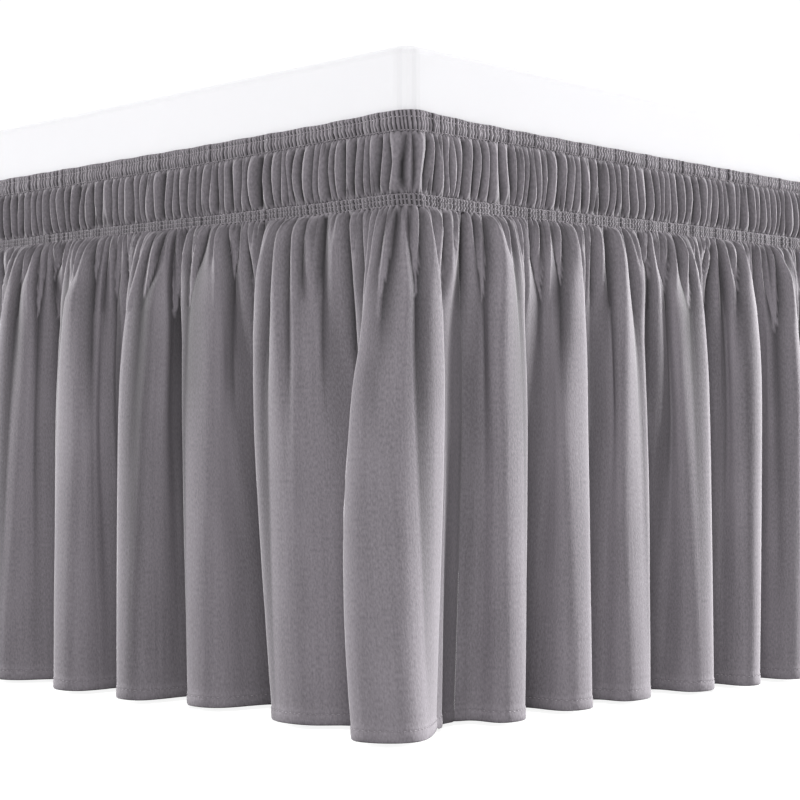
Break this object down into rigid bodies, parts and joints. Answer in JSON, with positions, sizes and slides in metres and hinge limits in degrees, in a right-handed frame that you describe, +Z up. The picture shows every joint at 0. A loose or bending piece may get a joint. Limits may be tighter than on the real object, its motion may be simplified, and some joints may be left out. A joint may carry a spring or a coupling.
{
  "type": "bed skirt on a box spring",
  "caption": "Gathered elastic bed skirt hanging in uneven folds round a plain box spring on legs, from a puffed heading nearly to the floor.",
  "frame": {"origin": "on the floor under the middle of the bed", "axes": "+Z up, +Y along the bed from foot to head, +X across the bed"},
  "size_m": [1.0714, 2.0122, 0.428],
  "materials": {
    "skirt_cloth": "brushed microfibre, grey mauve with a soft sheen",
    "ticking": "plain white woven cover",
    "timber": "dark stained"
  },
  "bodies": {
    "root": {"box_spring": "ticking", "leg_foot_right": "timber", "leg_foot_left": "timber", "leg_head_right": "timber", "leg_head_left": "timber", "heading": "skirt_cloth", "ruffle_foot": "skirt_cloth", "ruffle_head": "skirt_cloth", "ruffle_side_right": "skirt_cloth", "ruffle_side_left": "skirt_cloth"}
  },
  "joints": []
}
